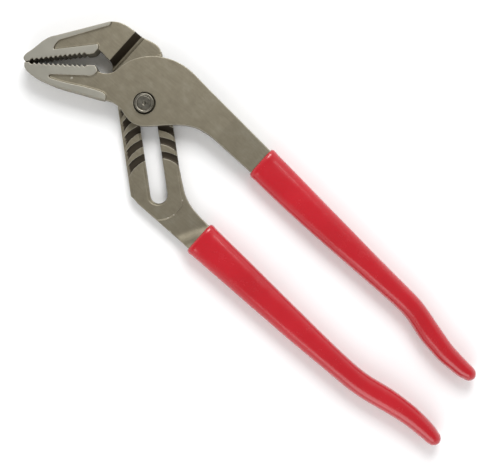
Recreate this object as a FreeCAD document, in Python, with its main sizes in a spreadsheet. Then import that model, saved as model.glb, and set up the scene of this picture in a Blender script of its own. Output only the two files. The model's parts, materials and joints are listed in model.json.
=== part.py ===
import FreeCAD, Part
import math
import os
import Sketcher
from FreeCAD import Placement, Rotation, Vector

# Tongue and groove pliers, 12 inch pattern, lying on their back.
# Millimetres. The origin is on the pivot axis, at the flat back of the pivot bolt.
# +X runs from the pivot to the handle tails, +Y is the upper handle's side, +Z is the front.

doc = FreeCAD.newDocument("TongueAndGroovePliers")

# ---------------------------------------------------------------- driving sizes
SIZES = [
    ("jaw_length", 38, "throat to nose, along the teeth"),
    ("jaw_lean", 44.3, "degrees from +X to the line where the jaws meet"),
    ("handle_length", 241.4, "pivot to the tail of the lower grip"),
    ("tail_stagger", 9.2, "upper grip's tail short of the lower one"),
    ("upper_mouth", 67.4, "pivot to the mouth of the upper grip"),
    ("lower_neck", 31.6, "slot's last setting to the mouth of the lower grip"),
    ("bar_back", 1.5, "level of the slotted bar's back"),
    ("bar_thickness", 6, "slotted bar, at its ground face"),
    ("ground_height", 0.5, "ground face above the forged face round it"),
    ("lever_play", 0.1, "gap between the two levers' faces"),
    ("cheek_thickness", 5.9, "pivot lever's cheek, over the bar"),
    ("rim_height", 1.2, "raised jaw rims above the web, each side"),
    ("bar_left", 15.2, "middle of the slot to the bar's edge on the jaw side"),
    ("bar_right", 13, "middle of the slot to the bar's edge on the handle side"),
    ("bar_bevel", 4, "bevel along the bar's edge on the jaw side"),
    ("slot_lean", 39.5, "degrees that the slot slopes down from +X"),
    ("slot_width", 9.4, "width of the slot"),
    ("slot_headroom", 1.2, "slot beyond the pin at the first setting"),
    ("slot_spare", 2.9, "slot beyond the pin at the last setting"),
    ("slot_bevel", 0.9, "bevel round the slot's front edge"),
    ("channel_lip", 2, "channel for the bolt head beyond the slot, each side"),
    ("channel_depth", 1.6, "depth of that channel"),
    ("groove_count", 7, "settings"),
    ("groove_pitch", 7.8, "from one setting to the next"),
    ("groove_radius", 19, "middle of each groove, about its pin position"),
    ("groove_width", 3.5, "width of a groove"),
    ("groove_depth", 1.8, "depth of a groove"),
    ("tongue_play", 0.2, "tongue clear of its groove, all round"),
    ("tongue_start", 8, "degrees from the slot line to the tongue"),
    ("tongue_sweep", 30, "degrees that the tongue covers"),
    ("wall_foot", 26.2, "pivot to the foot of the upper jaw's wall"),
    ("wall_slope", 3.2, "how far that wall leans back"),
    ("jaw_clear", 0.4, "thick lower jaw clear of the slotted bar"),
    ("tooth_pitch", 2.57, "from tooth to tooth"),
    ("tooth_depth", 1.3, "depth of the teeth"),
    ("tang_thickness", 9.4, "steel inside a grip, front to back"),
    ("grip_wall", 1.6, "thickness of a grip's sleeve"),
    ("grip_round", 2.6, "rounding of a grip's long edges"),
    ("head_length", 16, "bolt head along the slot"),
    ("head_play", 0.1, "bolt head clear of the channel floor"),
    ("head_side_play", 0.2, "bolt head clear of the channel's sides"),
    ("shank_play", 0.1, "shank clear of slot and bore, each side"),
    ("stud_size", 7.4, "diameter of the bolt's end, inside the nut"),
    ("stud_proud", 1.7, "bolt's end above the cheek"),
    ("nut_lip", 0.6, "collar nut beyond the bore, all round"),
    ("nut_proud", 2.4, "nut above the cheek"),
    ("nut_seat", 1.5, "depth of the nut's seat in the cheek"),
    ("nut_gap", 0.6, "seat clear of the nut, each side"),
    ("nut_play", 0.1, "nut above its seat"),
]
sheet = doc.addObject("Spreadsheet::Sheet", "Sizes")
for row, (alias, value, note) in enumerate(SIZES, 1):
    sheet.set(f"A{row}", note)
    sheet.set(f"B{row}", str(value))
    sheet.setAlias(f"B{row}", alias)
doc.recompute()


def size(alias):
    return float(sheet.get(alias))


# Levels, as expressions of the sheet's cells.
BACK = "Sizes.bar_back"
JOINT = "Sizes.bar_back + Sizes.bar_thickness"
CHEEK_BACK = f"{JOINT} + Sizes.lever_play"
FRONT = f"{CHEEK_BACK} + Sizes.cheek_thickness"
RIM_BACK = "Sizes.bar_back - Sizes.rim_height"
RIM_FRONT = f"{FRONT} + Sizes.rim_height"
THROUGH = f"{RIM_FRONT} - {BACK} + 2 * Sizes.rim_height + 4"

back = size("bar_back")
joint = back + size("bar_thickness")
cheek_back = joint + size("lever_play")
front = cheek_back + size("cheek_thickness")
middle = (back + front) / 2
tang_back = middle - size("tang_thickness") / 2
tang_front = middle + size("tang_thickness") / 2
FAR = size("handle_length") + 60


# ---------------------------------------------------------------- making features
def plane(body, role):
    return next(item for item in body.Origin.OriginFeatures if item.Role == role)


def new_sketch(body, name, level=None, role="XY_Plane", turn=0, at=(0, 0)):
    """A sketch on an origin plane, turned in that plane and lifted to a level."""
    sketch = body.newObject("Sketcher::SketchObject", name)
    sketch.AttachmentSupport = [(plane(body, role), "")]
    sketch.MapMode = "FlatFace"
    sketch.AttachmentOffset = Placement(Vector(at[0], at[1], 0), Rotation(Vector(0, 0, 1), turn))
    if level:
        sketch.setExpression("AttachmentOffset.Base.z", level)
    return sketch


def draw(sketch, start, *steps):
    """A closed profile: straight runs, arcs through a middle point, and smooth curves."""
    here = start
    for kind, *points in steps:
        path = [Vector(x, y, 0) for x, y in [here] + points]
        if kind == "line":
            for first, last in zip(path, path[1:]):
                sketch.addGeometry(Part.LineSegment(first, last))
        elif kind == "arc":
            sketch.addGeometry(Part.Arc(*path))
        else:
            curve = Part.BSplineCurve()
            curve.interpolate(path)
            sketch.addGeometry(curve)
        here = points[-1]
    if math.dist(here, start) > 1e-6:
        sketch.addGeometry(Part.LineSegment(Vector(*here, 0), Vector(*start, 0)))
    return sketch


def polygon(sketch, *points):
    return draw(sketch, points[0], ("line", *points[1:]))


def ogee(low, high):
    """Two arcs from one level up to another, level at both ends."""
    run, rise = high[0] - low[0], high[1] - low[1]
    bend = math.atan2(rise, run)
    radius = math.hypot(run, rise) / (4 * math.sin(bend))
    step_x, step_y = radius * math.sin(bend), radius * (1 - math.cos(bend))
    centre = (low[0] + run / 2, low[1] + rise / 2)
    return (("arc", (low[0] + step_x, low[1] + step_y), centre),
            ("arc", (high[0] - step_x, high[1] - step_y), high))


def add_pad(body, sketch, name, length):
    feature = body.newObject("PartDesign::Pad", name)
    feature.Profile = sketch
    feature.setExpression("Length", length)
    body.Tip = feature
    doc.recompute()
    return feature


def add_pocket(body, sketch, name, length, upward=False, both_ways=False):
    """A pocket that has to take metal away."""
    before = body.Shape
    feature = body.newObject("PartDesign::Pocket", name)
    feature.Profile = sketch
    feature.Reversed = upward
    feature.Midplane = both_ways
    feature.setExpression("Length", length)
    body.Tip = feature
    doc.recompute()
    cutter = feature.AddSubShape.copy()
    cutter.Placement = feature.Placement.multiply(cutter.Placement)
    if not before.common(cutter).Solids:
        raise ValueError(f"{name} cuts nothing")
    return feature


def repeat(body, feature, sketch, name, length, count):
    """Copies of a feature along its own sketch's horizontal axis."""
    pattern = body.newObject("PartDesign::LinearPattern", name)
    pattern.Originals = [feature]
    pattern.Direction = (sketch, ["H_Axis"])
    pattern.Occurrences = 2
    pattern.setExpression("Length", length)
    pattern.setExpression("Occurrences", count)
    body.Tip = pattern
    doc.recompute()
    return pattern


def obround(sketch, first, last, width):
    """A slot profile along the sketch's X axis, its three sizes bound to the sheet."""
    start, end, across = (float(doc.Sizes.evalExpression(text)) for text in (first, last, width))
    radius = across / 2
    turn = math.pi / 2
    for centre, begin in ((start, turn), (end, -turn)):
        circle = Part.Circle(Vector(centre, 0, 0), Vector(0, 0, 1), radius)
        sketch.addGeometry(Part.ArcOfCircle(circle, begin, begin + 2 * turn))
    sketch.addGeometry(Part.LineSegment(Vector(start, -radius, 0), Vector(end, -radius, 0)))
    sketch.addGeometry(Part.LineSegment(Vector(end, radius, 0), Vector(start, radius, 0)))
    for one, end_one, two, end_two in ((0, 2, 2, 1), (2, 2, 1, 1), (1, 2, 3, 1), (3, 2, 0, 1)):
        sketch.addConstraint(Sketcher.Constraint("Tangent", one, end_one, two, end_two))
    for arc in (0, 1):
        sketch.addConstraint(Sketcher.Constraint("PointOnObject", arc, 3, -1))
    spots = (("first", Sketcher.Constraint("DistanceX", -1, 1, 0, 3, start), first),
             ("last", Sketcher.Constraint("DistanceX", -1, 1, 1, 3, end), last),
             ("radius", Sketcher.Constraint("Radius", 1, radius), f"({width}) / 2"))
    for label, constraint, formula in spots:
        number = sketch.addConstraint(constraint)
        sketch.renameConstraint(number, label)
        sketch.setExpression(f"Constraints.{label}", formula)
    return sketch


# ---------------------------------------------------------------- lines that the pieces share
lean = math.radians(size("slot_lean"))
slot_way = (math.cos(lean), -math.sin(lean))
slot_side = (math.sin(lean), math.cos(lean))
travel = size("groove_pitch") * (size("groove_count") - 1)
bar_left = size("bar_left")
bar_right = size("bar_right")


def along_slot(distance, across=0):
    """A point given along the slot from the first pin position, and across it."""
    return (slot_way[0] * distance + slot_side[0] * across, slot_way[1] * distance + slot_side[1] * across)


meet = math.radians(size("jaw_lean"))
jaw_root = (-35.45, 0.14)
upper_root = (-39.2, 0.1)
lower_root = (-33.3, -2.7)
nose = (jaw_root[0] - size("jaw_length") * math.cos(meet), jaw_root[1] - size("jaw_length") * math.sin(meet))


def from_nose(x, y):
    return (nose[0] + x, nose[1] + y)


class Handle:
    """One handle's plan: a middle line and half widths at stations from mouth to tip."""

    def __init__(self, mouth, tail, stations):
        self.mouth = mouth
        self.tail = tail
        self.tip_length = 4.6
        self.stations = stations

    def edge(self, side, wall):
        """Points of the upper (side 1) or lower (side -1) edge, in from the sleeve by its wall."""
        reach = self.tail - self.tip_length - self.mouth
        return [(self.mouth + part * reach, middle_line + side * (half - wall))
                for part, middle_line, half in self.stations]

    def tip(self, wall):
        """Points round the tail, inside the sleeve by its wall."""
        last_x = self.edge(1, wall)[-1][0]
        middle_line, half = self.stations[-1][1:]
        reach = self.tail - 1.3 * wall - last_x
        turns = [math.radians(turn) for turn in (30, 60, 90, 120, 150)]
        return [(last_x + reach * math.sin(turn), middle_line + (half - wall) * math.cos(turn))
                for turn in turns]


upper = Handle(size("upper_mouth"), size("handle_length") - size("tail_stagger"),
               [(0, 18.6, 9.4), (0.195, 17.2, 8.85), (0.442, 16.1, 7.4), (0.638, 15.5, 6.2),
                (0.73, 14.4, 6.1), (0.792, 11.9, 6.3), (0.854, 9.9, 5.9), (0.916, 8.6, 5.3),
                (0.967, 8.5, 4.7), (1, 8.8, 4.1)])
slot_end = along_slot(travel + size("slot_spare"))
drops = [(0, 2.6, 9.9), (0.174, 3, 9), (0.297, 3.3, 8.35), (0.472, 3.7, 7.35), (0.615, 3.6, 6.5),
         (0.718, 2.7, 6.4), (0.779, 0.8, 6.5), (0.841, -1, 6.1), (0.903, -2.1, 5.5), (0.959, -2.2, 4.9),
         (1, -1.7, 4.2)]
lower = Handle(slot_end[0] + size("lower_neck"), size("handle_length"),
               [(part, slot_end[1] - drop, half) for part, drop, half in drops])


def handle_outline(handle, wall):
    """One smooth step from the top of the mouth, round the tail, to the bottom of the mouth."""
    return ("curve", *handle.edge(1, wall)[1:], *handle.tip(wall), *handle.edge(-1, wall)[::-1])


# ---------------------------------------------------------------- slotted lever
# One forging: the upper jaw, the slotted bar with its grooves, and the lower handle.
slotted = doc.addObject("PartDesign::Body", "SlottedLever")
slotted.Label = "slotted_jaw_lever"

steel = size("grip_wall")
mouth_top = lower.edge(1, steel)[0]
mouth_bottom = lower.edge(-1, steel)[0]
shoulder = along_slot(-24, bar_right)
bar_end = along_slot(travel + size("slot_spare") - 13, bar_right)
throat = along_slot(-21, -bar_left)
heel_x = along_slot(travel + size("slot_spare"), -bar_left)[0]
heel_y = mouth_bottom[1] - 0.4
heel_start = along_slot(travel + size("slot_spare") - 1.5, -bar_left)

blank = new_sketch(slotted, "SlottedPlan", RIM_BACK)
draw(blank, from_nose(-0.05, 0.15),
     ("line", from_nose(-1.6, 0.7)),
     ("curve", from_nose(-2.1, 1.4), from_nose(-1.65, 6.4), from_nose(-0.75, 11.4), from_nose(0.4, 17),
      from_nose(2.85, 21.4)),
     ("line", (-43.2, 20)),
     ("curve", (-41.3, 22), (-37, 24.2), (-26, 26), (-15.4, 28), shoulder),
     ("line", bar_end),
     ("curve", (bar_end[0] + 8.9, bar_end[1] - 6.5), (bar_end[0] + 13.9, bar_end[1] - 9.5),
      (bar_end[0] + 22.6, bar_end[1] - 11.9), mouth_top),
     handle_outline(lower, steel),
     ("line", (heel_x + 4.5, heel_y)),
     ("curve", (heel_x + 0.6, heel_y + 0.5), heel_start),
     ("line", throat),
     ("curve", (throat[0] - 1.4, throat[1] + 2.2), (throat[0] - 4, throat[1] + 3)),
     ("line", (-37.8, 5.1), (-37.9, 1.8), upper_root))
add_pad(slotted, blank, "SlottedBlank", f"{RIM_FRONT} - ({RIM_BACK})")

# The wall between jaw and bar, and the forged face of the bar, cut from the side.
foot = -size("wall_foot")
forged = joint - size("ground_height")
side = new_sketch(slotted, "BarSide", role="XZ_Plane")
wall_top = foot - size("wall_slope") * (FAR - joint) / (front - joint)
polygon(side, (wall_top, FAR), (foot, joint), (foot, forged), (lower.mouth - 14, forged),
        (lower.mouth - 14, FAR))
add_pocket(slotted, side, "BarFace", "4 * Sizes.handle_length", both_ways=True)

# The ramp from the forged face up to the handle crosses the neck askew.
ramp_foot = (lower.mouth - 9.4, heel_y)
ramp = new_sketch(slotted, "NeckSide", role="XZ_Plane")
ramp.AttachmentOffset = Placement(Vector(ramp_foot[0], 0, -ramp_foot[1]), Rotation(Vector(0, 1, 0), -30))
draw(ramp, (-20, forged), ("line", (-2, forged)), *ogee((-2, forged), (11, tang_front)),
     ("line", (FAR, tang_front), (FAR, FAR), (-20, FAR)))
add_pocket(slotted, ramp, "NeckRamp", "4 * Sizes.handle_length", both_ways=True)

# The ground face that the other lever slides on, and the grooves cut across it.
ground_round = bar_right + 0.6
ground_half = bar_right - 1
ground_left = bar_left - 2
ground_low = heel_y + 0.9
low_drop = slot_end[1] - ground_low
round_end = (slot_end[0] + math.sqrt(ground_round ** 2 - low_drop ** 2), ground_low)
round_reach = travel + size("slot_spare") + math.sqrt(ground_round ** 2 - ground_half ** 2)
round_start = along_slot(round_reach, ground_half)
round_middle = (slot_end[0] + ground_round * math.cos(0.1), slot_end[1] - ground_round * math.sin(0.1))
low_corner = (-slot_side[0] * ground_left - (ground_low + slot_side[1] * ground_left) / math.tan(lean),
              ground_low)
ground = new_sketch(slotted, "GroundPlan", f"{JOINT} - Sizes.ground_height")
draw(ground, along_slot(-25, ground_half),
     ("line", round_start),
     ("arc", round_middle, round_end),
     ("line", low_corner, along_slot(-19, -ground_left)))
add_pad(slotted, ground, "GroundFace", "Sizes.ground_height")

groove = new_sketch(slotted, "GroovePlan", JOINT, turn=-size("slot_lean"))
groove_reach = math.radians(112)


def arc_band(sketch, radius, width, first, last):
    """A band of an arc about the sketch's origin, between two directions in radians."""
    def spot(offset, turn):
        return ((radius + offset) * math.cos(turn), (radius + offset) * math.sin(turn))
    inside, outside, centre = -width / 2, width / 2, (first + last) / 2
    return draw(sketch, spot(outside, first), ("arc", spot(outside, centre), spot(outside, last)),
                ("line", spot(inside, last)), ("arc", spot(inside, centre), spot(inside, first)))


arc_band(groove, size("groove_radius"), size("groove_width"), groove_reach, 2 * math.pi - groove_reach)
first_groove = add_pocket(slotted, groove, "Groove", "Sizes.groove_depth")
repeat(slotted, first_groove, groove, "Grooves", "Sizes.groove_pitch * (Sizes.groove_count - 1)",
       "Sizes.groove_count")

TRAVEL = "Sizes.groove_pitch * (Sizes.groove_count - 1)"
slot = new_sketch(slotted, "SlotPlan", FRONT, turn=-size("slot_lean"))
obround(slot, "-Sizes.slot_headroom", f"{TRAVEL} + Sizes.slot_spare", "Sizes.slot_width")
add_pocket(slotted, slot, "Slot", THROUGH)

# A bevel round the slot, wider on the jaw side.
bevel_shift = -0.6 * size("slot_bevel")
bevel = new_sketch(slotted, "SlotBevelPlan", JOINT, turn=-size("slot_lean"),
                   at=(slot_side[0] * bevel_shift, slot_side[1] * bevel_shift))
obround(bevel, "-Sizes.slot_headroom", f"{TRAVEL} + Sizes.slot_spare",
        "Sizes.slot_width + 2 * Sizes.slot_bevel")
add_pocket(slotted, bevel, "SlotBevel", "Sizes.slot_bevel").TaperAngle = -45
doc.recompute()

# A bevel along the edge on the jaw side, which the grooves run out on.
bevel_first = along_slot(-20.4, -bar_left + size("bar_bevel"))
bevel_last = along_slot(travel + 6, -bar_left + 0.45 * size("bar_bevel"))
bevel_way = math.atan2(bevel_last[1] - bevel_first[1], bevel_last[0] - bevel_first[0])
edge = new_sketch(slotted, "BarBevelSide", role="XZ_Plane")
edge.AttachmentOffset = Placement(Vector(bevel_last[0], 0, -bevel_last[1]),
                                  Rotation(Vector(0, 1, 0), 90 + math.degrees(bevel_way)))
polygon(edge, (0, joint), (-12, joint - 12 * 0.6), (-12, FAR), (0, FAR))
add_pocket(slotted, edge, "BarBevel", f"{math.dist(bevel_first, bevel_last)}")

channel = new_sketch(slotted, "ChannelPlan", f"{BACK} + Sizes.channel_depth", turn=-size("slot_lean"))
CHANNEL_WIDTH = "Sizes.slot_width + 2 * Sizes.channel_lip"
HEAD_WIDTH = f"{CHANNEL_WIDTH} - 2 * Sizes.head_side_play"
HEAD_HALF = f"(Sizes.head_length - ({HEAD_WIDTH})) / 2"
obround(channel, f"-({HEAD_HALF}) - Sizes.slot_headroom", f"{TRAVEL} + {HEAD_HALF} + Sizes.slot_headroom",
        CHANNEL_WIDTH)
add_pocket(slotted, channel, "Channel", "Sizes.channel_depth + Sizes.rim_height + 1")


def upper_web(sketch):
    """Everything but the upper jaw's raised rim and tooth bar."""
    return draw(sketch, (-46, 26),
                ("line", (-42.8, 22.8), (-42.1, 19.9)),
                ("curve", (-41.8, 18.9), (-42.1, 18)),
                ("line", from_nose(6.5, 21.7)),
                ("curve", from_nose(6, 18.4), from_nose(7.1, 15.3)),
                ("line", (-39.9, 6.8)),
                ("curve", (-38.5, 6), (-37.5, 3.6)),
                ("line", (-36, 3), (-36, -FAR), (FAR, -FAR), (FAR, FAR), (-46, FAR)))


web_front = upper_web(new_sketch(slotted, "UpperWebFront", FRONT))
add_pocket(slotted, web_front, "WebFront", "Sizes.rim_height + 1", upward=True)
web_back = upper_web(new_sketch(slotted, "UpperWebBack", BACK))
add_pocket(slotted, web_back, "WebBack", "Sizes.rim_height + 1")

tang = new_sketch(slotted, "TangSide", role="XZ_Plane")
polygon(tang, (lower.mouth - 14, back), (lower.mouth - 4, tang_back), (FAR, tang_back), (FAR, -FAR),
        (lower.mouth - 14, -FAR))
add_pocket(slotted, tang, "TangBack", "4 * Sizes.handle_length", both_ways=True)

relief = new_sketch(slotted, "WallRelief", f"{JOINT}")
polygon(relief, (foot + 1.2, throat[1]), (foot + 1.9, throat[1]), (foot + 1.9, 40), (foot + 1.2, 40))
add_pocket(slotted, relief, "WallReliefCut", "Sizes.ground_height + 0.6")


# ---------------------------------------------------------------- pivot lever
# The other forging: the lower jaw, the cheek that turns on the bolt, and the upper handle.
pivoted = doc.addObject("PartDesign::Body", "PivotLever")
pivoted.Label = "pinned_jaw_lever"

hub = 12.4
hub_side = hub * math.sqrt(0.5)
tang_bottom = upper.edge(-1, steel)[0]
blank = new_sketch(pivoted, "PivotPlan", RIM_BACK)
draw(blank, from_nose(0.05, -0.15),
     ("curve", from_nose(0.7, -1.2), from_nose(2.3, -2.5), from_nose(4.6, -3), from_nose(8.2, -2.9),
      from_nose(12.05, -1.95), from_nose(15.45, -0.85), from_nose(19.15, 0.4), (-30, -19.6),
      (-20, -14.7), (-13.5, -11.4), (-9.5, -10.7), (-6, -11.2), (0, -hub)),
     ("arc", (hub * math.sin(0.4), -hub * math.cos(0.4)), (hub_side, -hub_side)),
     ("line", (hub_side + 10.6, 10.6 - hub_side)),
     ("curve", (24.6, 6), (30, 8.9), (35, 10.2), (41, 10.8)),
     ("line", tang_bottom),
     ("curve", *upper.edge(-1, steel)[1:], *upper.tip(steel)[::-1], *upper.edge(1, steel)[::-1]),
     ("line", (21, 28.8)),
     ("curve", (13, 29.4), (4, 29.5), (-5, 27.2), (-13, 22.4), (-19.6, 14.8), (-22.9, 4.6)),
     ("curve", (-24, 0.8), (-26.2, -2), (-28.6, -3.5), (-30.2, -4)),
     ("curve", (-31.5, -3.2), lower_root))
add_pad(pivoted, blank, "PivotBlank", f"{RIM_FRONT} - ({RIM_BACK})")


def lower_web(sketch):
    """Everything but the lower jaw's raised rim and tooth bar."""
    return draw(sketch, (-30.4, 3),
                ("line", (-30, -5)),
                ("curve", (-30.6, -7.6), (-33, -10)),
                ("line", from_nose(15.2, 4.3)),
                ("curve", from_nose(14.6, 3.1), from_nose(16, 2.6)),
                ("curve", (-40, -20.7), (-30, -15.1), (-20.6, -10.7)),
                ("curve", (-18.4, -10.7), (-16.6, -13.4)),
                ("line", (-15, -19), (-15, -FAR), (FAR, -FAR), (FAR, FAR), (-30.4, FAR)))


web_front = lower_web(new_sketch(pivoted, "LowerWebFront", FRONT))
add_pocket(pivoted, web_front, "WebFront", "Sizes.rim_height + 1", upward=True)
web_back = lower_web(new_sketch(pivoted, "LowerWebBack", BACK))
add_pocket(pivoted, web_back, "WebBack", "Sizes.rim_height + 1")

# The back is cut down to the cheek where the slotted bar passes, at any opening of the handles.
open_angle = math.radians(60)
clear = bar_left + size("jaw_clear")
shut_line = (-slot_side[0], -slot_side[1])
open_line = (shut_line[0] * math.cos(open_angle) + shut_line[1] * math.sin(open_angle),
             shut_line[1] * math.cos(open_angle) - shut_line[0] * math.sin(open_angle))
crotch_reach = clear / math.cos(open_angle / 2)
crotch_turn = math.atan2(shut_line[1] + open_line[1], shut_line[0] + open_line[0])
crotch = (crotch_reach * math.cos(crotch_turn), crotch_reach * math.sin(crotch_turn))
down_way = (-open_line[1], open_line[0])
if down_way[1] > 0:
    down_way = (-down_way[0], -down_way[1])
bar_room = new_sketch(pivoted, "BarRoom", CHEEK_BACK)
step_x = 27
polygon(bar_room, (crotch[0] - slot_way[0] * 60, crotch[1] - slot_way[1] * 60), crotch,
        (crotch[0] + down_way[0] * 60, crotch[1] + down_way[1] * 60), (step_x, -60), (step_x, 60))
add_pocket(pivoted, bar_room, "BarRoomCut", THROUGH)

handle_side = new_sketch(pivoted, "HandleSide", role="XZ_Plane")
polygon(handle_side, (step_x - 2, cheek_back), (step_x, cheek_back), (step_x + 6, tang_back),
        (FAR, tang_back), (FAR, -FAR), (step_x - 2, -FAR))
add_pocket(pivoted, handle_side, "HandleBack", "4 * Sizes.handle_length", both_ways=True)
handle_top = new_sketch(pivoted, "HandleTop", role="XZ_Plane")
polygon(handle_top, (upper.mouth - 26, front), (upper.mouth - 2, tang_front), (FAR, tang_front), (FAR, FAR),
        (upper.mouth - 26, FAR))
add_pocket(pivoted, handle_top, "HandleFront", "4 * Sizes.handle_length", both_ways=True)

# The tongue that drops into the grooves, the bore for the bolt, and the seat for the nut.
tongue = new_sketch(pivoted, "TonguePlan", f"{CHEEK_BACK} - Sizes.groove_depth + Sizes.tongue_play")
tongue_first = math.radians(180 - size("slot_lean") + size("tongue_start"))
arc_band(tongue, size("groove_radius"), size("groove_width") - 2 * size("tongue_play"), tongue_first,
         tongue_first + math.radians(size("tongue_sweep")))
add_pad(pivoted, tongue, "Tongue", "Sizes.groove_depth")

SHANK = "Sizes.slot_width / 2 - Sizes.shank_play"


def disc(body, name, level, radius):
    """A round profile about the pivot, its radius bound to the sheet."""
    sketch = new_sketch(body, name, level)
    start = float(doc.Sizes.evalExpression(radius))
    sketch.addGeometry(Part.Circle(Vector(0, 0, 0), Vector(0, 0, 1), start))
    sketch.addConstraint(Sketcher.Constraint("Coincident", 0, 3, -1, 1))
    number = sketch.addConstraint(Sketcher.Constraint("Radius", 0, start))
    sketch.renameConstraint(number, "radius")
    sketch.setExpression("Constraints.radius", radius)
    return sketch


add_pocket(pivoted, disc(pivoted, "BorePlan", FRONT, "Sizes.slot_width / 2"), "Bore", THROUGH)
NUT_RADIUS = "Sizes.slot_width / 2 + Sizes.nut_lip"
add_pocket(pivoted, disc(pivoted, "SeatPlan", FRONT, f"{NUT_RADIUS} + Sizes.nut_gap"), "NutSeat",
           "Sizes.nut_seat")


# ---------------------------------------------------------------- teeth
tooth_count = int((size("jaw_length") - 2.6) / size("tooth_pitch") - 0.9)


def cut_teeth(body, name, first, last, inward):
    """Equal notches across a jaw's gripping line."""
    lean = math.degrees(math.atan2(last[1] - first[1], last[0] - first[0]))
    pitch = size("tooth_pitch")
    sketch = new_sketch(body, name + "Plan", f"{RIM_FRONT} + 1", turn=lean, at=first)
    mouth = 0.2 * inward
    polygon(sketch, (0.95 * pitch, -mouth), (0.95 * pitch, 0), (1.6 * pitch, size("tooth_depth") * inward),
            (1.9 * pitch, 0), (1.9 * pitch, -mouth))
    notch = add_pocket(body, sketch, name, f"{THROUGH} + 2")
    repeat(body, notch, sketch, name + "Row", f"Sizes.tooth_pitch * {tooth_count - 1}", str(tooth_count))


cut_teeth(slotted, "UpperTeeth", from_nose(-0.05, 0.15), upper_root, 1)
cut_teeth(pivoted, "LowerTeeth", from_nose(0.05, -0.15), lower_root, -1)


# ---------------------------------------------------------------- bolt and nut
# The bolt's flat-sided head slides in the channel and its shank in the slot.
bolt = doc.addObject("PartDesign::Body", "PivotBolt")
bolt.Label = "pivot_bolt"
head = new_sketch(bolt, "HeadPlan", turn=-size("slot_lean"))
obround(head, f"-({HEAD_HALF})", HEAD_HALF, HEAD_WIDTH)
HEAD_TOP = f"{BACK} + Sizes.channel_depth - Sizes.head_play"
add_pad(bolt, head, "Head", HEAD_TOP)
SEAT = f"{FRONT} - Sizes.nut_seat + Sizes.nut_play"
add_pad(bolt, disc(bolt, "ShankPlan", None, SHANK), "Shank", SEAT)
add_pad(bolt, disc(bolt, "StudPlan", None, "Sizes.stud_size / 2"), "Stud", f"{FRONT} + Sizes.stud_proud")
dimple = new_sketch(bolt, "DimpleSide", role="XZ_Plane")
stud_top = front + size("stud_proud")
polygon(dimple, (0, stud_top - 0.9), (0.5, stud_top - 0.7), (1.1, stud_top), (1.1, stud_top + 1),
        (0, stud_top + 1))
punch = bolt.newObject("PartDesign::Groove", "Dimple")
punch.Profile = dimple
punch.ReferenceAxis = (dimple, ["V_Axis"])
bolt.Tip = punch
doc.recompute()

nut = doc.addObject("PartDesign::Body", "PivotNut")
nut.Label = "pivot_nut"
add_pad(nut, disc(nut, "CollarPlan", SEAT, NUT_RADIUS), "Collar",
        "Sizes.nut_seat - Sizes.nut_play + Sizes.nut_proud")
add_pocket(nut, disc(nut, "ThreadPlan", f"{FRONT} + Sizes.nut_proud + 1", "Sizes.stud_size / 2"), "Thread",
           "Sizes.nut_seat + Sizes.nut_proud + 3")


# ---------------------------------------------------------------- grips
# Dipped plastic sleeves, closed at the tail, that fit the steel inside them all over.
def rounded_section(body, name, x, middle_line, half_width, half_height):
    """A rounded rectangle across a handle, at a distance from the pivot."""
    sketch = new_sketch(body, name, role="YZ_Plane")
    sketch.AttachmentOffset = Placement(Vector(0, 0, x), Rotation())
    radius = min(size("grip_round"), 0.6 * half_width, 0.6 * half_height)
    steps = []
    for side_y, side_z in ((1, -1), (1, 1), (-1, 1), (-1, -1)):
        centre = (middle_line + side_y * (half_width - radius), middle + side_z * (half_height - radius))
        level = (centre[0], centre[1] + side_z * radius)
        upright = (centre[0] + side_y * radius, centre[1])
        reach = radius * math.sqrt(0.5)
        diagonal = (centre[0] + side_y * reach, centre[1] + side_z * reach)
        first, last = (level, upright) if side_y * side_z < 0 else (upright, level)
        steps += [("line", first), ("arc", diagonal, last)]
    return draw(sketch, steps[-1][-1], *steps)


def add_loft(body, name, sketches, ruled):
    feature = body.newObject("PartDesign::AdditiveLoft", name)
    feature.Profile = sketches[0]
    feature.Sections = sketches[1:]
    feature.Ruled = ruled
    body.Tip = feature
    doc.recompute()
    return feature


def add_grip(handle, lever, name, label):
    """A sleeve through even sections from the mouth to the rounded tail, less the steel inside it."""
    half_height = size("tang_thickness") / 2 + size("grip_wall")
    plan = Part.BSplineCurve()
    plan.interpolate([Vector(top[0], (top[1] + bottom[1]) / 2, (top[1] - bottom[1]) / 2)
                      for top, bottom in zip(handle.edge(1, 0), handle.edge(-1, 0))])
    sections = [(*spot, half_height) for spot in plan.discretize(Number=24)]
    last_x, middle_line, half_width = sections[-1][:3]
    even = len(sections)
    for turn in (math.radians(25), math.radians(48), math.radians(68), math.radians(84)):
        sections.append((last_x + handle.tip_length * math.sin(turn), middle_line,
                         half_width * math.cos(turn), half_height * math.sqrt(math.cos(turn))))
    sleeve = doc.addObject("PartDesign::Body", name)
    sketches = [rounded_section(sleeve, f"{name}Section{number}", *section)
                for number, section in enumerate(sections, 1)]
    add_loft(sleeve, name + "Loft", sketches[:even], False)
    add_loft(sleeve, name + "Tail", sketches[even - 1:], True)
    grip = doc.addObject("Part::Cut", name + "Fitted")
    grip.Base = sleeve
    grip.Tool = lever
    grip.Label = label
    return grip


upper_grip = add_grip(upper, pivoted, "UpperSleeve", "upper_handle_grip")
lower_grip = add_grip(lower, slotted, "LowerSleeve", "lower_handle_grip")
doc.recompute()


# ---------------------------------------------------------------- checks and files
def volume(shape):
    """From fine triangles: FreeCAD's own figure is wrong for flat faces with long spline edges."""
    points, triangles = shape.tessellate(0.02)
    return sum(points[a].dot(points[b].cross(points[c])) for a, b, c in triangles) / 6


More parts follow.
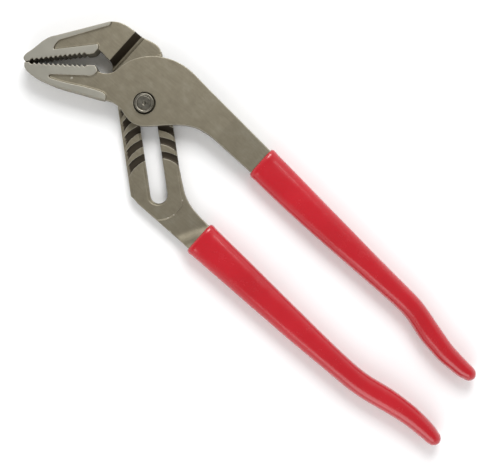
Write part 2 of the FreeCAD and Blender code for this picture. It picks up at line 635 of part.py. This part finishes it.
pieces = [slotted, pivoted, bolt, nut, upper_grip, lower_grip]
for item in doc.Objects:
    if "Invalid" in item.State or "Error" in item.State:
        raise ValueError(f"{item.Name} failed: {item.State}")
for piece in pieces:
    if piece.Shape.isNull() or not piece.Shape.isValid() or len(piece.Shape.Solids) != 1:
        raise ValueError(f"{piece.Label} is not one valid solid")
os.makedirs("parts", exist_ok=True)
for piece in pieces:
    piece.Shape.exportStep(f"parts/{piece.Label}.step")
    box = piece.Shape.BoundBox
    print(f"{piece.Label}: {volume(piece.Shape) / 1000:.2f} cm3, x {box.XMin:.1f}..{box.XMax:.1f}, "
          f"y {box.YMin:.1f}..{box.YMax:.1f}, z {box.ZMin:.2f}..{box.ZMax:.2f}")
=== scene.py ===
import json
import math

import bpy
import numpy as np
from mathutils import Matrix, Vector, noise
from mathutils.bvhtree import BVHTree


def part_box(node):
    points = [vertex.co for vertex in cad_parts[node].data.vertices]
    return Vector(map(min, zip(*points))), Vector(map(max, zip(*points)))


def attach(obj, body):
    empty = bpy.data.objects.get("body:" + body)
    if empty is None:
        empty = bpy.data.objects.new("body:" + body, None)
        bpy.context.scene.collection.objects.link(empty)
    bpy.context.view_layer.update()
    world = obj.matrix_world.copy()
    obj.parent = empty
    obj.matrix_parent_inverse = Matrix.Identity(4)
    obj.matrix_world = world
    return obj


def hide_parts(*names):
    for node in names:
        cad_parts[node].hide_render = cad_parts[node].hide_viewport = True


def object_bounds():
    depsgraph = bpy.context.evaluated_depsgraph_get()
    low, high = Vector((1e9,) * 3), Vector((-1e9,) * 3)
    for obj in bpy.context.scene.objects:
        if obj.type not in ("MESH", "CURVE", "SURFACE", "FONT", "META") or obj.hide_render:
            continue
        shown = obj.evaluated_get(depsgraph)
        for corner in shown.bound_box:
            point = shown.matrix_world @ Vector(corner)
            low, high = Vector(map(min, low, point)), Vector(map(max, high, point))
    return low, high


# Tongue and groove pliers lying on their back, seen from above.
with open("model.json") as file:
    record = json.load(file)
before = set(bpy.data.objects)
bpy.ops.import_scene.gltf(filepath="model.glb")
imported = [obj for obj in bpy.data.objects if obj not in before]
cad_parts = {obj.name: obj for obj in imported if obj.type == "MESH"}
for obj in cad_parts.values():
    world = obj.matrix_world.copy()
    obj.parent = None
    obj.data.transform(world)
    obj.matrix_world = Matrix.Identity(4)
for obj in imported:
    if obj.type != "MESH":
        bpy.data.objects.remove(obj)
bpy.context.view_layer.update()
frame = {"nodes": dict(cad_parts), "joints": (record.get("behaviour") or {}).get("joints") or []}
MM = 0.001


# ---------------------------------------------------------------- camera
# It looks straight down at the middle of the tool, turned so that the handles run up to the right.
slotted_low, slotted_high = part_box("slotted_jaw_lever")
tool_middle_z = (slotted_low.z + slotted_high.z) / 2
camera_turn = math.radians(42)
camera_height = 700 * MM
view_width = 271.4 * MM
sensor_width = 36
camera = bpy.data.objects.new("camera", bpy.data.cameras.new("camera"))
camera.data.sensor_width = sensor_width
camera.data.lens = sensor_width * camera_height / view_width
camera.location = (slotted_low.x + 154.1 * MM, -13.9 * MM, tool_middle_z + camera_height)
camera.rotation_euler = (0, 0, camera_turn)
bpy.context.scene.collection.objects.link(camera)
bpy.context.scene.camera = camera
bpy.context.scene.view_settings.view_transform = "Standard"


# ---------------------------------------------------------------- forged levers
# Two drop forgings of carbon steel: a lever with the upper jaw and the slotted bar, and a lever with
# the lower jaw and the cheek. The flats are ground and buffed, and the rest keeps its forged skin.
def linear(hex_colour):
    """An sRGB hex colour as the linear RGBA that a shader socket takes."""
    channels = [int(hex_colour[place:place + 2], 16) / 255 for place in (1, 3, 5)]
    straight = [c / 12.92 if c <= 0.04045 else ((c + 0.055) / 1.055) ** 2.4 for c in channels]
    return (*straight, 1)


def add(tree, kind, links=None, stops=(), **settings):
    """Adds one node. Settings name its properties or input sockets, links give sockets (by name or
    number) their sources, and stops are the positions and hex colours of a colour ramp."""
    node = tree.nodes.new(kind)
    for name, value in settings.items():
        if hasattr(node, name):
            setattr(node, name, value)
        else:
            node.inputs[name.replace("_", " ")].default_value = value
    for place, (position, colour) in enumerate(stops):
        element = node.color_ramp.elements[place] if place < 2 else node.color_ramp.elements.new(position)
        element.position = position
        element.color = linear(colour)
    for socket, source in (links or {}).items():
        if isinstance(source, bpy.types.NodeSocket):
            tree.links.new(source, node.inputs[socket])
        else:
            node.inputs[socket].default_value = source
    return node


def new_material(name):
    """An empty material and its node tree."""
    material = bpy.data.materials.new(name)
    material.use_nodes = True
    material.node_tree.nodes.clear()
    return material, material.node_tree


def finish_material(tree, shader, bump=None):
    """Joins the shader to its relief and to the material's output."""
    if bump:
        tree.links.new(bump.outputs["Normal"], shader.inputs["Normal"])
    add(tree, "ShaderNodeOutputMaterial", {"Surface": shader.outputs["BSDF"]})


def forged_steel():
    """Carbon steel, forged, ground and oiled: a warm grey satin, paler on rubbed edges with a painted
    highlight, and darker with painted shade in the corners and on the step wall.
    """
    material, tree = new_material("ground_forged_steel")
    place = add(tree, "ShaderNodeTexCoord").outputs["Object"]
    # Patches of thin brown tarnish, about 7 mm across.
    patches = add(tree, "ShaderNodeTexNoise", {"Vector": place}, Scale=1 / (7 * MM), Detail=5, Roughness=0.6)
    body = add(tree, "ShaderNodeValToRGB", {"Fac": patches.outputs["Fac"]},
               [(0.3, "#7B7464"), (0.72, "#908A7A"), (0.52, "#857E6D")]).outputs["Color"]
    # Grain of the grinding belt, 0.4 mm wide and 12 mm long.
    stretched = add(tree, "ShaderNodeMapping", {"Vector": place}, vector_type="TEXTURE", Scale=(12, 0.8, 0.8))
    grain = add(tree, "ShaderNodeTexNoise", {"Vector": stretched.outputs["Vector"]}, Scale=2 / MM, Detail=3,
                Roughness=0.55)
    streaks = add(tree, "ShaderNodeValToRGB", {"Fac": grain.outputs["Fac"]},
                  [(0.35, "#E0DED6"), (0.65, "#FFFFFF")]).outputs["Color"]
    body = add(tree, "ShaderNodeMix", {0: 0.5, 6: body, 7: streaks}, data_type="RGBA",
               blend_type="MULTIPLY").outputs[2]
    # The raised rims and tooth bars are ground last, and are paler and greyer.
    ground = add(tree, "ShaderNodeAttribute", attribute_name="ground_rim").outputs["Fac"]
    body = add(tree, "ShaderNodeMix", {0: ground, 6: body, 7: linear("#9C998E")}, data_type="RGBA").outputs[2]
    # Handling rubs the convex edges bright, and they get a painted highlight on top of that; the concave
    # corners get painted shade.
    bend = add(tree, "ShaderNodeNewGeometry").outputs["Pointiness"]
    rubbed_and_highlit = add(tree, "ShaderNodeMapRange", {"Value": bend}, From_Min=0.514, From_Max=0.57, To_Max=0.8)
    corner_shade = add(tree, "ShaderNodeMapRange", {"Value": bend}, From_Min=0.485, From_Max=0.44, To_Max=0.85)
    body = add(tree, "ShaderNodeMix", {0: rubbed_and_highlit.outputs["Result"], 6: body, 7: linear("#B9B5A8")},
               data_type="RGBA").outputs[2]
    # Painted shade darkens the concave corners.
    body = add(tree, "ShaderNodeMix", {0: corner_shade.outputs["Result"], 6: body, 7: linear("#39332A")},
               data_type="RGBA").outputs[2]
    # Mill scale stays in the grooves, where the grinding belt can't reach; the same dark colour is painted
    # shade on the step wall.
    scale_and_wall_shade = add(tree, "ShaderNodeAttribute", attribute_name="mill_scale_and_wall_shade").outputs["Fac"]
    body = add(tree, "ShaderNodeMix", {0: scale_and_wall_shade, 6: body, 7: linear("#3B342A")}, data_type="RGBA").outputs[2]
    roughness = add(tree, "ShaderNodeMapRange", {"Value": patches.outputs["Fac"]}, From_Min=0.3, From_Max=0.7,
                    To_Min=0.5, To_Max=0.4)
    pits = add(tree, "ShaderNodeTexNoise", {"Vector": place}, Scale=1 / (1.1 * MM), Detail=3, Roughness=0.6)
    skin = add(tree, "ShaderNodeBump", {"Height": pits.outputs["Fac"]}, Strength=0.25, Distance=0.08 * MM)
    lines = add(tree, "ShaderNodeBump", {"Height": grain.outputs["Fac"], "Normal": skin.outputs["Normal"]},
                Strength=0.3, Distance=0.03 * MM)
    shader = add(tree, "ShaderNodeBsdfPrincipled",
                 {"Base Color": body, "Roughness": roughness.outputs["Result"]}, Metallic=0.8)
    finish_material(tree, shader, lines)
    return material


def from_node(node, name, voxel, smoothing, keep):
    """A CAD node's shape in a fine even mesh, with its edges broken as a file or a tumbler leaves them."""
    piece = bpy.data.objects.new(name, frame["nodes"][node].data.copy())
    bpy.context.scene.collection.objects.link(piece)
    piece.data.materials.clear()
    weld = piece.modifiers.new("weld", "WELD")
    weld.merge_threshold = 0.001 * MM
    remesh = piece.modifiers.new("remesh", "REMESH")
    remesh.mode = "VOXEL"
    remesh.voxel_size = voxel
    soften = piece.modifiers.new("soften", "SMOOTH")
    soften.factor = 0.5
    soften.iterations = smoothing
    thin = piece.modifiers.new("thin", "DECIMATE")
    thin.ratio = keep
    bpy.context.view_layer.update()
    result = bpy.data.meshes.new_from_object(piece.evaluated_get(bpy.context.evaluated_depsgraph_get()))
    piece.modifiers.clear()
    piece.data = result
    result.name = name
    result.shade_smooth()
    return piece


def finish_piece(piece, material, body, slot, *nodes):
    """Gives a piece its material and its moving body, and hides the CAD nodes it stands for. The slot is not
    used.
    """
    piece.data.materials.append(material)
    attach(piece, body)
    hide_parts(*nodes)


steel = forged_steel()
slotted = from_node("slotted_jaw_lever", "upper_jaw_forging", 0.3 * MM, 4, 0.4)
pinned = from_node("pinned_jaw_lever", "lower_jaw_forging", 0.3 * MM, 4, 0.4)

# The grooves keep their mill scale, and the wall between the bar and the upper jaw gets painted shade in the
# same dark colour.
setting_joint = next(joint for joint in frame["joints"] if joint["type"] == "slide")
slot_way = Vector(setting_joint["axis"])
setting_count = 7
pitch = setting_joint["range_m"][1] / (setting_count - 1)
groove_radius = 19 * MM
groove_half = 1.9 * MM
groove_reach = 2.4 * MM
bar_face = 7.5 * MM
ground_skin = 0.12 * MM
bevel_start, bevel_fall = 11.4 * MM, 0.6
bar_edge = -13.6 * MM
spots = np.array([v.co for v in slotted.data.vertices])
in_groove = np.zeros(len(spots), bool)
for setting in range(setting_count):
    away = spots - np.array(slot_way) * pitch * setting
    uphill = away @ np.array(slot_way) < 0
    in_groove |= (abs(np.hypot(away[:, 0], away[:, 1]) - groove_radius) < groove_half) & uphill
across = spots[:, 0] * -slot_way.y + spots[:, 1] * slot_way.x
bevel_drop = np.clip(-across - bevel_start, 0, None) * bevel_fall
in_groove &= (spots[:, 2] < bar_face - bevel_drop - ground_skin) & (spots[:, 2] > bar_face - groove_reach)
in_groove &= across > bar_edge
# The step wall, which gets painted shade.
wall_foot, wall_top = -25.95 * MM, -29.3 * MM
wall_end = 4 * MM
wall_low, wall_high = 6 * MM, 13.3 * MM
shaded_wall = (spots[:, 0] < wall_foot) & (spots[:, 0] > wall_top) & (spots[:, 1] > wall_end)
shaded_wall &= (spots[:, 2] > wall_low) & (spots[:, 2] < wall_high)


def mark(lever, attribute, mask):
    """Writes a mask over a lever's vertices, for its material to read."""
    layer = lever.data.attributes.new(attribute, "FLOAT", "POINT")
    layer.data.foreach_set("value", mask.astype(np.float32))


# The rims are the flats that stand highest on each side of a forging's middle plane.
forging_middle = 7.5 * MM
rim_level = 6.95 * MM
flat_enough = 0.9
mark(slotted, "mill_scale_and_wall_shade", in_groove | shaded_wall)
for lever in (slotted, pinned):
    heights = np.array([v.co.z for v in lever.data.vertices])
    flats = np.array([v.normal.z for v in lever.data.vertices])
    mark(lever, "ground_rim", (abs(heights - forging_middle) > rim_level) & (abs(flats) > flat_enough))

finish_piece(slotted, steel, "slotted_lever", "forged_steel", "slotted_jaw_lever")
finish_piece(pinned, steel, "pinned_lever", "forged_steel", "pinned_jaw_lever")


# ---------------------------------------------------------------- pivot bolt and collar nut
# A turned steel bolt and nut, polished. The nut is a plain domed collar, and the bolt's end inside it
# is punched so that it can't unscrew.
def polished_steel():
    """Turned steel, polished and oiled: brighter and smoother than the forgings."""
    material, tree = new_material("polished_turned_steel")
    place = add(tree, "ShaderNodeTexCoord").outputs["Object"]
    smears = add(tree, "ShaderNodeTexNoise", {"Vector": place}, Scale=1 / (2.5 * MM), Detail=4, Roughness=0.6)
    body = add(tree, "ShaderNodeValToRGB", {"Fac": smears.outputs["Fac"]},
               [(0.3, "#69655B"), (0.7, "#8C887D")]).outputs["Color"]
    # Painted shade darkens the concave corners, such as the gap round the nut.
    bend = add(tree, "ShaderNodeNewGeometry").outputs["Pointiness"]
    corner_shade = add(tree, "ShaderNodeMapRange", {"Value": bend}, From_Min=0.49, From_Max=0.44)
    body = add(tree, "ShaderNodeMix", {0: corner_shade.outputs["Result"], 6: body, 7: linear("#2F2A23")},
               data_type="RGBA").outputs[2]
    # Rings that the lathe tool leaves, a third of a millimetre apart.
    rings = add(tree, "ShaderNodeTexWave", {"Vector": place}, wave_type="RINGS", rings_direction="Z",
                Scale=1 / (1.05 * MM), Distortion=0.3)
    turned = add(tree, "ShaderNodeBump", {"Height": rings.outputs["Fac"]}, Strength=0.15, Distance=0.02 * MM)
    roughness = add(tree, "ShaderNodeMapRange", {"Value": smears.outputs["Fac"]}, To_Min=0.22, To_Max=0.36)
    shader = add(tree, "ShaderNodeBsdfPrincipled",
                 {"Base Color": body, "Roughness": roughness.outputs["Result"]}, Metallic=1.0)
    finish_material(tree, shader, turned)
    return material


def turned_piece(name, profile, steps=96):
    """A closed ring turned from (radius, height) points in millimetres, about the pivot."""
    turns = [2 * math.pi * step / steps for step in range(steps)]
    corners = [(r * MM * math.cos(turn), r * MM * math.sin(turn), z * MM)
               for turn in turns for r, z in profile]
    count = len(profile)
    faces = []
    for step in range(steps):
        for point in range(count):
            here, there = step * count, (step + 1) % steps * count
            after = (point + 1) % count
            faces.append((here + point, there + point, there + after, here + after))
    mesh = bpy.data.meshes.new(name)
    mesh.from_pydata(corners, [], faces)
    mesh.shade_smooth()
    piece = bpy.data.objects.new(name, mesh)
    bpy.context.scene.collection.objects.link(piece)
    return piece


polished = polished_steel()
nut_low, nut_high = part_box("pivot_nut")
nut_top, nut_base, nut_radius = nut_high.z / MM, nut_low.z / MM, nut_high.x / MM
bore = 3.7
domed = [(nut_radius - 0.55 + 0.55 * math.cos(turn), nut_top - 0.75 + 0.75 * math.sin(turn))
         for turn in (math.pi / 2 * part / 8 for part in range(9))]
dished = [(bore + 0.75 * (1 - part / 4), nut_top - 0.62 * (part / 4) ** 1.4) for part in range(5)]
nut = turned_piece("collar_nut", [(nut_radius, nut_base), *domed, *dished, (bore + 0.02, nut_base)])
finish_piece(nut, polished, "pivot", "pivot_steel", "pivot_nut")
bolt = from_node("pivot_bolt", "pivot_bolt_and_head", 0.14 * MM, 3, 0.5)
finish_piece(bolt, polished, "pivot", "pivot_steel", "pivot_bolt")


# ---------------------------------------------------------------- dipped grips
# Each handle is dipped in liquid vinyl, which sets to a glossy red sleeve. It is thickest at the
# mouth, where it beads, and its sides are soft where it ran round the steel's corners.
def dipped_vinyl():
    """Plasticised PVC, dip moulded: saturated red with a wet gloss and a little depth."""
    material, tree = new_material("dipped_pvc")
    place = add(tree, "ShaderNodeTexCoord").outputs["Object"]
    drift = add(tree, "ShaderNodeTexNoise", {"Vector": place}, Scale=1 / (30 * MM), Detail=2)
    body = add(tree, "ShaderNodeValToRGB", {"Fac": drift.outputs["Fac"]},
               [(0.3, "#AC0B1A"), (0.7, "#B80F1F")]).outputs["Color"]
    orange_peel = add(tree, "ShaderNodeTexNoise", {"Vector": place}, Scale=1 / (2.2 * MM), Detail=2)
    dust = add(tree, "ShaderNodeTexNoise", {"Vector": place}, Scale=1 / (6 * MM), Detail=6, Roughness=0.7)
    roughness = add(tree, "ShaderNodeMapRange", {"Value": dust.outputs["Fac"]}, From_Min=0.35, From_Max=0.7,
                    To_Min=0.2, To_Max=0.3)
    peel = add(tree, "ShaderNodeBump", {"Height": orange_peel.outputs["Fac"]}, Strength=0.12,
               Distance=0.1 * MM)
    shader = add(tree, "ShaderNodeBsdfPrincipled",
                 {"Base Color": body, "Roughness": roughness.outputs["Result"]}, IOR=1.53, Coat_Weight=0.35,
                 Coat_Roughness=0.12, Subsurface_Weight=0.06, Subsurface_Scale=1.5 * MM)
    finish_material(tree, shader, peel)
    return material


def dipped_sleeve(node, name, seed):
    """A hollow sleeve that follows the outline of its CAD node, with soft sides and a beaded mouth."""
    source = frame["nodes"][node].data
    tree = BVHTree.FromPolygons([v.co for v in source.vertices], [p.vertices for p in source.polygons])
    low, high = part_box(node)
    middle_z, half_z = (low.z + high.z) / 2, (high.z - low.z) / 2
    length = high.x - low.x
    wall = 1.5 * MM
    ring_points = 72
    far = 100 * MM

    def outline(x):
        """The middle and half width of the node's plan at a station."""
        top = tree.ray_cast(Vector((x, far, middle_z)), Vector((0, -1, 0)))[0].y
        bottom = tree.ray_cast(Vector((x, -far, middle_z)), Vector((0, 1, 0)))[0].y
        return (top + bottom) / 2, (top - bottom) / 2

    def squareness_at(half):
        """How square a section is: the wider the handle, the flatter its faces."""
        return 1.8 + 0.14 * half / MM

    def section(x, centre, width, height, squareness, ripple=0):
        """A rounded rectangle across the handle, with the slight waves of a dipped skin."""
        points = []
        for step in range(ring_points):
            turn = 2 * math.pi * step / ring_points
            c, s = math.cos(turn), math.sin(turn)
            wave = ripple * noise.noise(Vector((x * 45, turn * 1.2, seed)))
            across = width * math.copysign(abs(c) ** (2 / squareness), c) + wave * c
            up = height * math.copysign(abs(s) ** (2 / squareness), s) + wave * s
            points.append((x, centre + across, middle_z + up))
        return points

    def ring(x, inset, squareness=None):
        """One section, inside the node's outline by the inset."""
        centre, half = outline(min(max(x, low.x + 0.05 * MM), high.x - 0.05 * MM))
        return section(x, centre, half - inset, half_z - inset, squareness or squareness_at(half), 0.09 * MM)

    # Outside, from the bead at the mouth to the rounded tail.
    bead = [(0.02, 1.15), (0.12, 0.72), (0.4, 0.3), (0.85, 0.0), (1.5, -0.2), (2.3, -0.24), (3.2, -0.14),
            (4.4, -0.03), (6, 0)]
    rings = [ring(low.x + x * MM, inset * MM) for x, inset in bead]
    start = low.x + 7.5 * MM
    tail_round = 5.2 * MM
    stop = high.x - tail_round
    body_steps = 110
    rings += [ring(start + (stop - start) * step / body_steps, 0) for step in range(body_steps + 1)]
    tail_steps = 12
    tail_squareness = squareness_at(outline(stop)[1])
    for step in range(1, tail_steps + 1):
        turn = math.pi / 2 * step / tail_steps
        x = stop + (tail_round - 0.04 * MM) * math.sin(turn)
        height = half_z * max(math.cos(turn), 0.02) ** 0.75
        squareness = tail_squareness + (2 - tail_squareness) * step / tail_steps
        rings.append(section(x, *outline(x), height, squareness))
    # Inside, back from the closed end to the mouth.
    inner_steps = 30
    inner_stop = high.x - 9 * MM
    inner = [ring(inner_stop + (low.x + 1.2 * MM - inner_stop) * step / inner_steps, wall, 5)
             for step in range(inner_steps + 1)]
    inner.append(ring(low.x + 0.3 * MM, 1.4 * MM, 4))
    rows = rings + inner
    outside = len(rings)
    corners = [point for row in rows for point in row]
    # Each row joins the next but for the tail's two ends, and the last joins the first round the mouth.
    joined = [(row, row + 1) for row in range(len(rows) - 1) if row != outside - 1] + [(len(rows) - 1, 0)]
    faces = []
    for here, there in joined:
        for place in range(ring_points):
            after = (place + 1) % ring_points
            faces.append((here * ring_points + place, here * ring_points + after,
                          there * ring_points + after, there * ring_points + place))
    tail_ring = (outside - 1) * ring_points
    faces.append(tuple(tail_ring + place for place in range(ring_points)))
    faces.append(tuple(outside * ring_points + place for place in reversed(range(ring_points))))
    mesh = bpy.data.meshes.new(name)
    mesh.from_pydata(corners, [], faces)
    mesh.validate()
    mesh.shade_smooth()
    piece = bpy.data.objects.new(name, mesh)
    bpy.context.scene.collection.objects.link(piece)
    return piece


vinyl = dipped_vinyl()
for node, name, body, seed in (("upper_handle_grip", "upper_dipped_grip", "pinned_lever", 1.7),
                               ("lower_handle_grip", "lower_dipped_grip", "slotted_lever", 6.3)):
    finish_piece(dipped_sleeve(node, name, seed), vinyl, body, "dipped_plastic", node)


# ---------------------------------------------------------------- studio
# A white table, a large soft light over the tool's upper side, and a weaker one opposite.
def table_laminate():
    """White laminate, nearly matt, with a faint mottle."""
    material, tree = new_material("white_table_laminate")
    place = add(tree, "ShaderNodeTexCoord").outputs["Object"]
    mottle = add(tree, "ShaderNodeTexNoise", {"Vector": place}, Scale=20, Detail=3)
    body = add(tree, "ShaderNodeValToRGB", {"Fac": mottle.outputs["Fac"]},
               [(0.3, "#F8F8F8"), (0.7, "#FCFCFC")]).outputs["Color"]
    shader = add(tree, "ShaderNodeBsdfPrincipled", {"Base Color": body}, Roughness=0.85)
    finish_material(tree, shader)
    return material


floor_mesh = bpy.data.meshes.new("table")
floor_half = 3
floor_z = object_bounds()[0][2] - 0.05 * MM
floor_corners = [(x * floor_half, y * floor_half, floor_z) for x, y in ((-1, -1), (1, -1), (1, 1), (-1, 1))]
floor_mesh.from_pydata(floor_corners, [], [(0, 1, 2, 3)])
floor_mesh.materials.append(table_laminate())
floor = bpy.data.objects.new("table", floor_mesh)
bpy.context.scene.collection.objects.link(floor)

# The room: pale walls all round under a dimmer ceiling.
world = bpy.data.worlds.new("studio_air")
bpy.context.scene.world = world
world.use_nodes = True
world.node_tree.nodes.clear()
way = add(world.node_tree, "ShaderNodeTexCoord").outputs["Generated"]
height = add(world.node_tree, "ShaderNodeSeparateXYZ", {"Vector": way}).outputs["Z"]
room = add(world.node_tree, "ShaderNodeMapRange", {"Value": height}, From_Min=0.35, From_Max=0.9, To_Min=1.05,
           To_Max=0.3, interpolation_type="SMOOTHSTEP").outputs["Result"]
air = add(world.node_tree, "ShaderNodeBackground", {"Strength": room}, Color=linear("#FFFFFF"))
add(world.node_tree, "ShaderNodeOutputWorld", {"Surface": air.outputs["Background"]})


def soft_light(name, place, aim, side, power):
    """A square soft box at a place, aimed at a point; its side is in metres and its power in watts."""
    light = bpy.data.lights.new(name, "AREA")
    light.shape = "SQUARE"
    light.size = side
    light.energy = power
    lamp = bpy.data.objects.new(name, light)
    lamp.location = place
    lamp.rotation_euler = (Vector(aim) - Vector(place)).to_track_quat("-Z", "Y").to_euler()
    bpy.context.scene.collection.objects.link(lamp)


tool_middle = (0.09, -0.014, 0)
soft_light("key", (-0.25, 0.55, 0.8), tool_middle, 0.5, 7)
soft_light("fill", (0.5, -0.5, 0.6), tool_middle, 0.6, 2.4)
